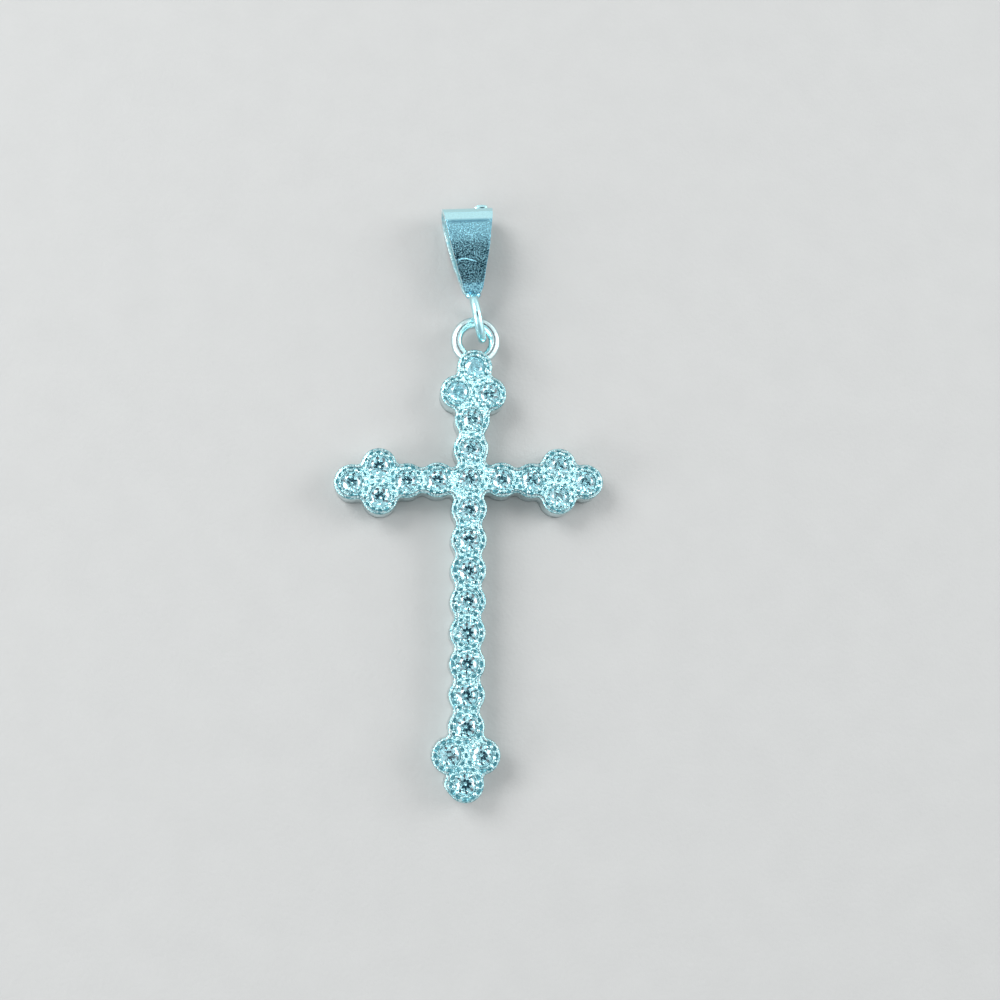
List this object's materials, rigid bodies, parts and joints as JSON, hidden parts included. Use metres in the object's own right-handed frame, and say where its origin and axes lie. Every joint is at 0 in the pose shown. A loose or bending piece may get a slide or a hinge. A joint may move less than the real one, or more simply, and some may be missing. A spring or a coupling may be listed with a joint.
{
  "type": "cross pendant",
  "caption": "Cast cross with rows of round stone cells, beaded floors and trefoil ends, set with round brilliants, hung by a cast loop on a folded tapered bail.",
  "frame": {"origin": "on the flat back of the cross, under the middle of the stone at the crossing", "axes": "+Y from the foot towards the bail, +X along the right arm, +Z out of the back towards the stones"},
  "size_m": [0.0194, 0.0434, 0.0038],
  "materials": {
    "cast_silver": "polished cast silver with bright beads and dark pits between them",
    "bail_silver": "polished silver strip and wire, with fine scratches",
    "stone": "clear faceted stone with a cool cast"
  },
  "bodies": {
    "root": {"cross": "cast_silver", "bail": "bail_silver", "stone_centre": "stone", "stone_foot_1": "stone", "stone_foot_2": "stone", "stone_foot_3": "stone", "stone_foot_4": "stone", "stone_foot_5": "stone", "stone_foot_6": "stone", "stone_foot_7": "stone", "stone_foot_8": "stone", "stone_head_1": "stone", "stone_head_2": "stone", "stone_left_1": "stone", "stone_left_2": "stone", "stone_right_1": "stone", "stone_right_2": "stone", "stone_foot_pair_a": "stone", "stone_head_pair_a": "stone", "stone_left_pair_a": "stone", "stone_right_pair_a": "stone", "stone_foot_pair_b": "stone", "stone_head_pair_b": "stone", "stone_left_pair_b": "stone", "stone_right_pair_b": "stone", "stone_foot_tip": "stone", "stone_head_tip": "stone", "stone_left_tip": "stone", "stone_right_tip": "stone"}
  },
  "joints": []
}
